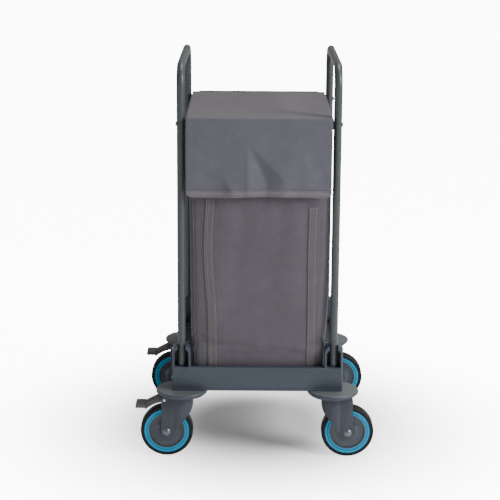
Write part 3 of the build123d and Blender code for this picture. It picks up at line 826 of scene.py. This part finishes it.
# painted light and shade: the lid's top is the same cloth as the flap, coloured darker and warmer
# there to match how light falls on it
lid_light_tint = (0.082, 0.0715, 0.08)
hem_colour = (0.15, 0.137, 0.148)
cover_wall = 0.0012
cover_lift = 0.0006
edge_round = 0.0026
side_round = 0.0022
flap_side_round = 0.0008
fold_round = 0.0036
rear_drop = 0.0022
side_drop = 0.0026
flap_side_turn = 0.0008
hem_depth = 0.0165
hem_raise = 0.0014
flap_corner = 0.012
hem_stitch = 0.0022
edge_stitch = 0.0035
rear_stitch = 0.0155
# each wave: its height, length, start and slant
flap_waves = ((0.0022, 0.26, 0.7, 0), (0.0012, 0.11, 2.1, 3))
# each crease: its two ends across and down the flap, its width and its height
flap_creases = ((((0.095, 0.05), (0.12, 0.165)), 0.02, 0.0025),
                (((-0.085, 0.12), (-0.06, 0.172)), 0.013, 0.0046))
flap_corner_lift = 0.0016
hem_wave = 0.0012
hem_wave_length = 0.3
lid_waves = (0.0005, 0.0004)
rear_dip = 0.0009
rear_dip_run = 0.12
crease_fade = 0.02
tuck_height = 0.0074
tuck_top = 0.05
tuck_run = 0.09
# the standing fold's two sides: where each starts, and how far it spreads
tuck_left = (-0.030, 0.007)
tuck_right = (-0.028, 0.0455)
tuck_places = [-0.25, 0.0, 0.95, 1.05, 1.95]
tuck_profile = [0.0, 0.2, -1.4, -1.4, 0.0]
tuck_hem_from = 0.14
tuck_hem_run = 0.03
tuck_hem_share = 0.45
cover_top = lid_high.z + cover_lift
cover_front = flap_low.y + 0.0003
cover_rear = lid_high.y + 0.0003
top_run = cover_rear - edge_round - (cover_front + fold_round)
flap_run = cover_top - fold_round - flap_low.z
fold_start = rear_drop + edge_round * pi / 2 + top_run
flap_start = fold_start + fold_round * pi / 2
cover_length = flap_start + flap_run
cover_half = lid_high.x


def cover_path(t):
    """(y, z) and the inward normal, a distance t along the cover from its rear edge."""
    if t < rear_drop:
        return (cover_rear, cover_top - edge_round - rear_drop + t), (-1, 0)
    t -= rear_drop
    if t < edge_round * pi / 2:
        turn = t / edge_round
        return ((cover_rear - edge_round + edge_round * cos(turn),
                 cover_top - edge_round + edge_round * sin(turn)), (-cos(turn), -sin(turn)))
    t -= edge_round * pi / 2
    if t < top_run:
        return (cover_rear - edge_round - t, cover_top), (0, -1)
    t -= top_run
    if t < fold_round * pi / 2:
        turn = t / fold_round
        return ((cover_front + fold_round - fold_round * sin(turn),
                 cover_top - fold_round + fold_round * cos(turn)), (sin(turn), -cos(turn)))
    t -= fold_round * pi / 2
    return (cover_front, cover_top - fold_round - t), (1, 0)


def steps(first, last, pitch):
    """Evenly spaced values from first up to, but not including, last."""
    count = max(1, round((last - first) / pitch))
    return [first + (last - first) * i / count for i in range(count)]


def ridge(x, s, ends, width, height):
    """A soft crease in the cloth between two points, widening downwards."""
    (x0, s0), (x1, s1) = ends
    run = hypot(x1 - x0, s1 - s0)
    along = ((x - x0) * (x1 - x0) + (s - s0) * (s1 - s0)) / run
    aside = ((x - x0) * (s1 - s0) - (s - s0) * (x1 - x0)) / run
    share = held_to_one(along / run)
    fall = 1.0 if along <= run else np.exp(-((along - run) / crease_fade) ** 2)
    rise = share * share * (3 - 2 * share) * fall
    spread = width * (0.35 + 0.65 * share)
    return height * rise * float(np.exp(-(aside / spread) ** 2))


def tuck(x, s):
    """The flap's standing fold: a wedge that faces right, then a short return, widening down."""
    depth = held_to_one((s - tuck_top) / tuck_run)
    left = tuck_left[0] + tuck_left[1] * depth
    right = tuck_right[0] + tuck_right[1] * depth
    profile = np.interp((x - left) / (right - left), tuck_places, tuck_profile)
    hem = 1 - tuck_hem_share * held_to_one((s - tuck_hem_from) / tuck_hem_run)
    return tuck_height * depth * depth * (3 - 2 * depth) * hem * float(profile)


def flap_swell(x, down):
    """How far the flap stands out, a distance down it from the fold."""
    share = down / flap_run
    swell = 0.0
    for height, length, start, slant in flap_waves:
        swell += height * share * sin(2 * pi * (x / length) + start + slant * share)
    swell += tuck(x, down)
    for crease in flap_creases:
        swell += ridge(x, down, *crease)
    return swell + flap_corner_lift * share ** 2 * (x / cover_half) ** 4


def lid_swell(x, t):
    """How far the cover stands off the lid: shallow waves, and a dip at its rear corners."""
    middle = (1 - (x / cover_half) ** 2)
    rear = max(0.0, 1 - t / rear_dip_run)
    waves = lid_waves[0] * middle * sin(17 * t + 3) + lid_waves[1] * sin(45 * x + 9 * t) * middle
    return waves - rear_dip * rear ** 2 * (x / cover_half) ** 6


fold_margin = 0.014
hem_step = 0.0006
edge_end = rear_drop + edge_round * pi / 2
hem_start = cover_length - hem_depth
cover_rows = (steps(0, edge_end, 0.0012)
              + steps(edge_end, fold_start - fold_margin, 0.006)
              + steps(fold_start - fold_margin, flap_start + fold_margin, 0.0014)
              + steps(flap_start + fold_margin, hem_start - hem_step, 0.004)
              + steps(hem_start - hem_step, hem_start, hem_step)
              + steps(hem_start, cover_length, 0.0022) + [cover_length])
cover_columns = ([("side", -1, share) for share in (1.0, 0.5, 0.0)]
                 + [("turn", -1, share) for share in (0.75, 0.5, 0.25)]
                 + [("flat", 0, -1 + i / 39) for i in range(79)]
                 + [("turn", 1, share) for share in (0.25, 0.5, 0.75)]
                 + [("side", 1, share) for share in (0.0, 0.5, 1.0)])
cover, places = flat_sheet("lid_and_flap_cover", len(cover_columns) - 1, len(cover_rows) - 1)
laid, cut = [], []
for across, along in places:
    kind, side, share = cover_columns[round(across * (len(cover_columns) - 1))]
    t = cover_rows[round(along * (len(cover_rows) - 1))]
    (y, z), (inward_y, inward_z) = cover_path(t)
    down = max(0.0, t - flap_start)
    on_flap = held_to_one((t - fold_start) / (flap_start - fold_start))
    drop = side_drop * (1 - on_flap) + flap_side_turn * on_flap
    bend = side_round * (1 - on_flap) + flap_side_round * on_flap
    flat_half = cover_half - bend
    if kind == "flat":
        x, sink, spread = flat_half * share, 0.0, flat_half * share
    elif kind == "turn":
        x = side * (flat_half + bend * sin(share * pi / 2))
        sink = bend * (1 - cos(share * pi / 2))
        spread = side * (flat_half + bend * share * pi / 2)
    else:
        x, sink = side * cover_half, bend + drop * share
        spread = side * (flat_half + bend * pi / 2 + drop * share)
    near_end = max(0.0, flap_corner - (cover_length - t))
    corner_half = cover_half - flap_corner + (max(0.0, flap_corner ** 2 - near_end ** 2)) ** 0.5
    x *= corner_half / cover_half
    if down > 0:
        swell = flap_swell(x, down)
        if cover_length - t <= hem_depth + 1e-6:
            swell += hem_raise
        z += hem_wave * sin(2 * pi * x / hem_wave_length + 0.6) * (down / flap_run) ** 2
    else:
        swell = lid_swell(x, t)
    y -= inward_y * (swell - sink)
    z -= inward_z * (swell - sink)
    laid.append((x, y, z))
    cut.append((spread + cover_half + drop + bend, t))
write_points(cover, laid)
lay_out(cover, np.array(cut))
close_up(cover, fine_merge)
if sum(face.normal.z for face in cover.data.polygons if face.center.y > -0.2) < 0:
    cover.data.flip_normals()
apply_modifier(cover, "SOLIDIFY", thickness=cover_wall, offset=-1.0)
bpy.ops.object.shade_smooth_by_angle(angle=radians(55))
cover_stitches = [("v", hem_start + hem_stitch, 0.0, 1.0),
                  ("v", cover_length - edge_stitch, 0.0, 1.0), ("v", rear_stitch, 0.0, 1.0)]
# the lid's top in its painted light tint, and the hem in the binding's own colour
cover_areas = [(0.0, fold_start, lid_light_tint), (hem_start, 1.0, hem_colour)]
cover.data.materials.append(woven("cover_cloth", cover_colour, cover_stitches, cover_areas))
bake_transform(cover)
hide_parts("front_flap")


# ------------------------------------------------------------------ lid lining
# The underside and edges of the lid: a pocket of the same cloth drawn tight round
# the board, turned over at its edges and sewn to the cover.

lining_inset = 0.0014
lining_front = 0.0004
lining_gap = 0.0002
lining_ease = 0.0016
bpy.ops.object.select_all(action="DESELECT")
bpy.ops.mesh.primitive_cube_add(size=1)
lining = bpy.context.object
lining.name = "lid_lining"
lining_low = (lid_low.x + lining_inset, lid_low.y + lining_front, lid_low.z)
lining_high = (lid_high.x - lining_inset, lid_high.y - lining_inset,
               cover_top - cover_wall - lining_gap)
spans = [high - low for low, high in zip(lining_low, lining_high)]
middle = [(low + high) / 2 for low, high in zip(lining_low, lining_high)]
bpy.ops.transform.resize(value=spans)
bpy.ops.transform.translate(value=middle)
bpy.ops.object.transform_apply(location=True, rotation=True, scale=True)
apply_modifier(lining, "BEVEL", width=lining_ease, segments=4, limit_method="ANGLE")
bpy.ops.object.mode_set(mode="EDIT")
bpy.ops.mesh.select_all(action="SELECT")
bpy.ops.uv.cube_project(cube_size=1.0, correct_aspect=False, scale_to_bounds=False)
bpy.ops.object.mode_set(mode="OBJECT")
lining.data.uv_layers.active.name = "cut"
bpy.ops.object.shade_smooth_by_angle(angle=radians(40))
lining.data.materials.append(woven("lining_cloth", cover_colour))
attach(lining, "lid")
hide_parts("lid_cover")


# ------------------------------------------------------------------ sleeves
# The bag's side hems, sewn into long loops that the two flat side bars pass through
# between the legs of each hoop.

sleeve_half = 0.188
sleeve_gap = 0.0004
sleeve_wall = 0.0003
sleeve_corner = 0.0018
sleeve_rows = 60
sleeve_ripple = 0.0003
sleeve_sag = 0.0008
seam_down = 0.018
for side, name in ((-1, "left"), (1, "right")):
    bar_low, bar_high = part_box(f"{name}_bag_rail")
    middle_x = (bar_low.x + bar_high.x) / 2
    middle_z = (bar_low.z + bar_high.z) / 2
    half_x = (bar_high.x - bar_low.x) / 2 + sleeve_gap
    half_z = (bar_high.z - bar_low.z) / 2 + sleeve_gap
    loop = []
    for way_x, way_z, first in ((1, 1, 0), (-1, 1, 90), (-1, -1, 180), (1, -1, 270)):
        for turn in (0, 30, 60, 90):
            angle = radians(first + turn)
            loop.append((way_x * (half_x - sleeve_corner) + sleeve_corner * cos(angle),
                         way_z * (half_z - sleeve_corner) + sleeve_corner * sin(angle)))
    loop.append(loop[0])
    lengths = [0.0]
    for first, second in zip(loop, loop[1:]):
        lengths.append(lengths[-1] + hypot(second[0] - first[0], second[1] - first[1]))
    sleeve, places = flat_sheet(f"{name}_sleeve", len(loop) - 1, sleeve_rows)
    laid, cut = [], []
    for across, along in places:
        spot = round(across * (len(loop) - 1))
        slack = sleeve_ripple * sin(31 * along) + sleeve_ripple * sin(53 * along + 1)
        x, z = loop[spot]
        below = max(0.0, -z / half_z)
        laid.append((middle_x - side * x, sleeve_half * (2 * along - 1),
                     middle_z + z + (slack - sleeve_sag) * below))
        cut.append((lengths[spot], 2 * sleeve_half * along))
    write_points(sleeve, laid)
    lay_out(sleeve, np.array(cut))
    close_up(sleeve, fine_merge)
    apply_modifier(sleeve, "SOLIDIFY", thickness=sleeve_wall, offset=1.0)
    bpy.ops.object.shade_smooth_by_angle(angle=radians(50))
    sleeve_seam = [("u", lengths[7] + seam_down, 0.0, 1.0)]
    sleeve.data.materials.append(woven(f"{name}_sleeve_cloth", bag_colour, sleeve_seam))
    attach(sleeve, "frame")


# ------------------------------------------------------------------ corner piping
# Thin corded piping sewn into each upright corner seam of the bag, which keeps the
# corners crisp.

piping_radius = 0.0015
piping_out = 0.0003
piping_points = 72
piping_cast = 0.05
piping_foot = 0.006
piping_share = 0.988
rib_pitch = 0.0016
seam_corners = (("fl", -1, -1), ("fr", 1, -1), ("rl", -1, 1), ("rr", 1, 1))


def piping_cloth():
    """Binding drawn round a cord: a fine level rib, mottled where it is handled."""
    made, shader, place = paint_job("piping_cloth")
    rib = (place.axis(2) * (2 * pi / rib_pitch)).sine()
    cloud = noise(place, 60.0, 3.0)
    feed(shader, "Base Color", tint(cloud, shade(bag_colour, 0.8), shade(bag_colour, 1.05)))
    feed(shader, "Roughness", 0.7)
    feed(shader, "Specular IOR Level", 0.3)
    feed(shader, "Normal", rib.relief(0.4, 0.0002))
    return made


piping_material = piping_cloth()
piping_pieces = []
for corner_name, side, end in seam_corners:
    way = Vector((-side, -end, 0)).normalized()
    line = []
    for step in range(piping_points):
        up = piping_foot + piping_share * step / (piping_points - 1)
        half_x, half_y, rounding = bag_size(up)
        aim = Vector((side * (half_x - rounding) + bag_shift * sin(pi * up),
                      end * (half_y - rounding), bag_low.z + bag_height * up))
        hit, spot = bag.ray_cast(aim - way * piping_cast, way, distance=2 * piping_cast)[:2]
        if hit:
            line.append(spot - way * piping_out)
    curve = bpy.data.curves.new(f"piping_{corner_name}", "CURVE")
    curve.dimensions = "3D"
    curve.bevel_depth = piping_radius
    curve.bevel_resolution = 3
    curve.use_fill_caps = True
    spline = curve.splines.new("POLY")
    spline.points.add(len(line) - 1)
    for point, spot in zip(spline.points, line):
        point.co = (*spot, 1)
    piping = bpy.data.objects.new(f"piping_{corner_name}", curve)
    bpy.context.scene.collection.objects.link(piping)
    take_up(piping)
    bpy.ops.object.convert(target="MESH")
    piping = bpy.context.object
    bpy.ops.object.shade_smooth_by_angle(angle=radians(50))
    piping.data.materials.clear()
    piping.data.materials.append(piping_material)
    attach(piping, "frame")
    piping_pieces.append(piping)
band_pieces + piping_pieces


# ------------------------------------------------------------------ rear hinge strip
# A strip of the bag's cloth sewn to its rear hem and along the lid's rear edge, which
# is all that the lid hinges on.

strip_half = 0.15
strip_wall = 0.0007
strip_rows = 44
strip_columns = 60
strip_slack = (0.0004, 0.0003)
strip_stitches = (0.004, 0.003)
strip_path = [(0.2104, 0.784), (0.2105, 0.797), (0.2107, 0.804), (0.2118, 0.8075),
              (0.2150, 0.8098), (0.2178, 0.8118), (0.2186, 0.8148), (0.2172, 0.8173),
              (0.2130, 0.8177), (0.2080, 0.8177), (0.2030, 0.8176)]
walked = [0.0]
for first, second in zip(strip_path, strip_path[1:]):
    walked.append(walked[-1] + hypot(second[0] - first[0], second[1] - first[1]))
strip_length = walked[-1]
run = np.linspace(0, strip_length, strip_rows + 1)
line = np.column_stack([np.interp(run, walked, [p[i] for p in strip_path]) for i in (0, 1)])
for _ in range(3):
    line[1:-1] = (line[:-2] + 2 * line[1:-1] + line[2:]) / 4
strip, places = flat_sheet("hinge_strip", strip_columns, strip_rows)
laid = []
for across, along in places:
    y, z = line[round(along * strip_rows)]
    x = strip_half * (2 * across - 1)
    bulge = sin(pi * along) ** 2
    y += strip_slack[0] * bulge * sin(70 * x + 1)
    z += strip_slack[1] * bulge * sin(90 * x)
    laid.append((x, y, z))
write_points(strip, laid)
lay_out(strip, places * np.array([2 * strip_half, strip_length]))
close_up(strip, fine_merge)
if sum(face.normal.y for face in strip.data.polygons if face.center.z < 0.8) < 0:
    strip.data.flip_normals()
apply_modifier(strip, "SOLIDIFY", thickness=strip_wall, offset=-1.0)
bpy.ops.object.shade_smooth_by_angle(angle=radians(50))
strip_seams = [("v", strip_stitches[0], 0.0, 1.0),
               ("v", strip_length - strip_stitches[1], 0.0, 1.0)]
strip.data.materials.append(woven("strip_cloth", bag_colour, strip_seams))
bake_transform(strip)
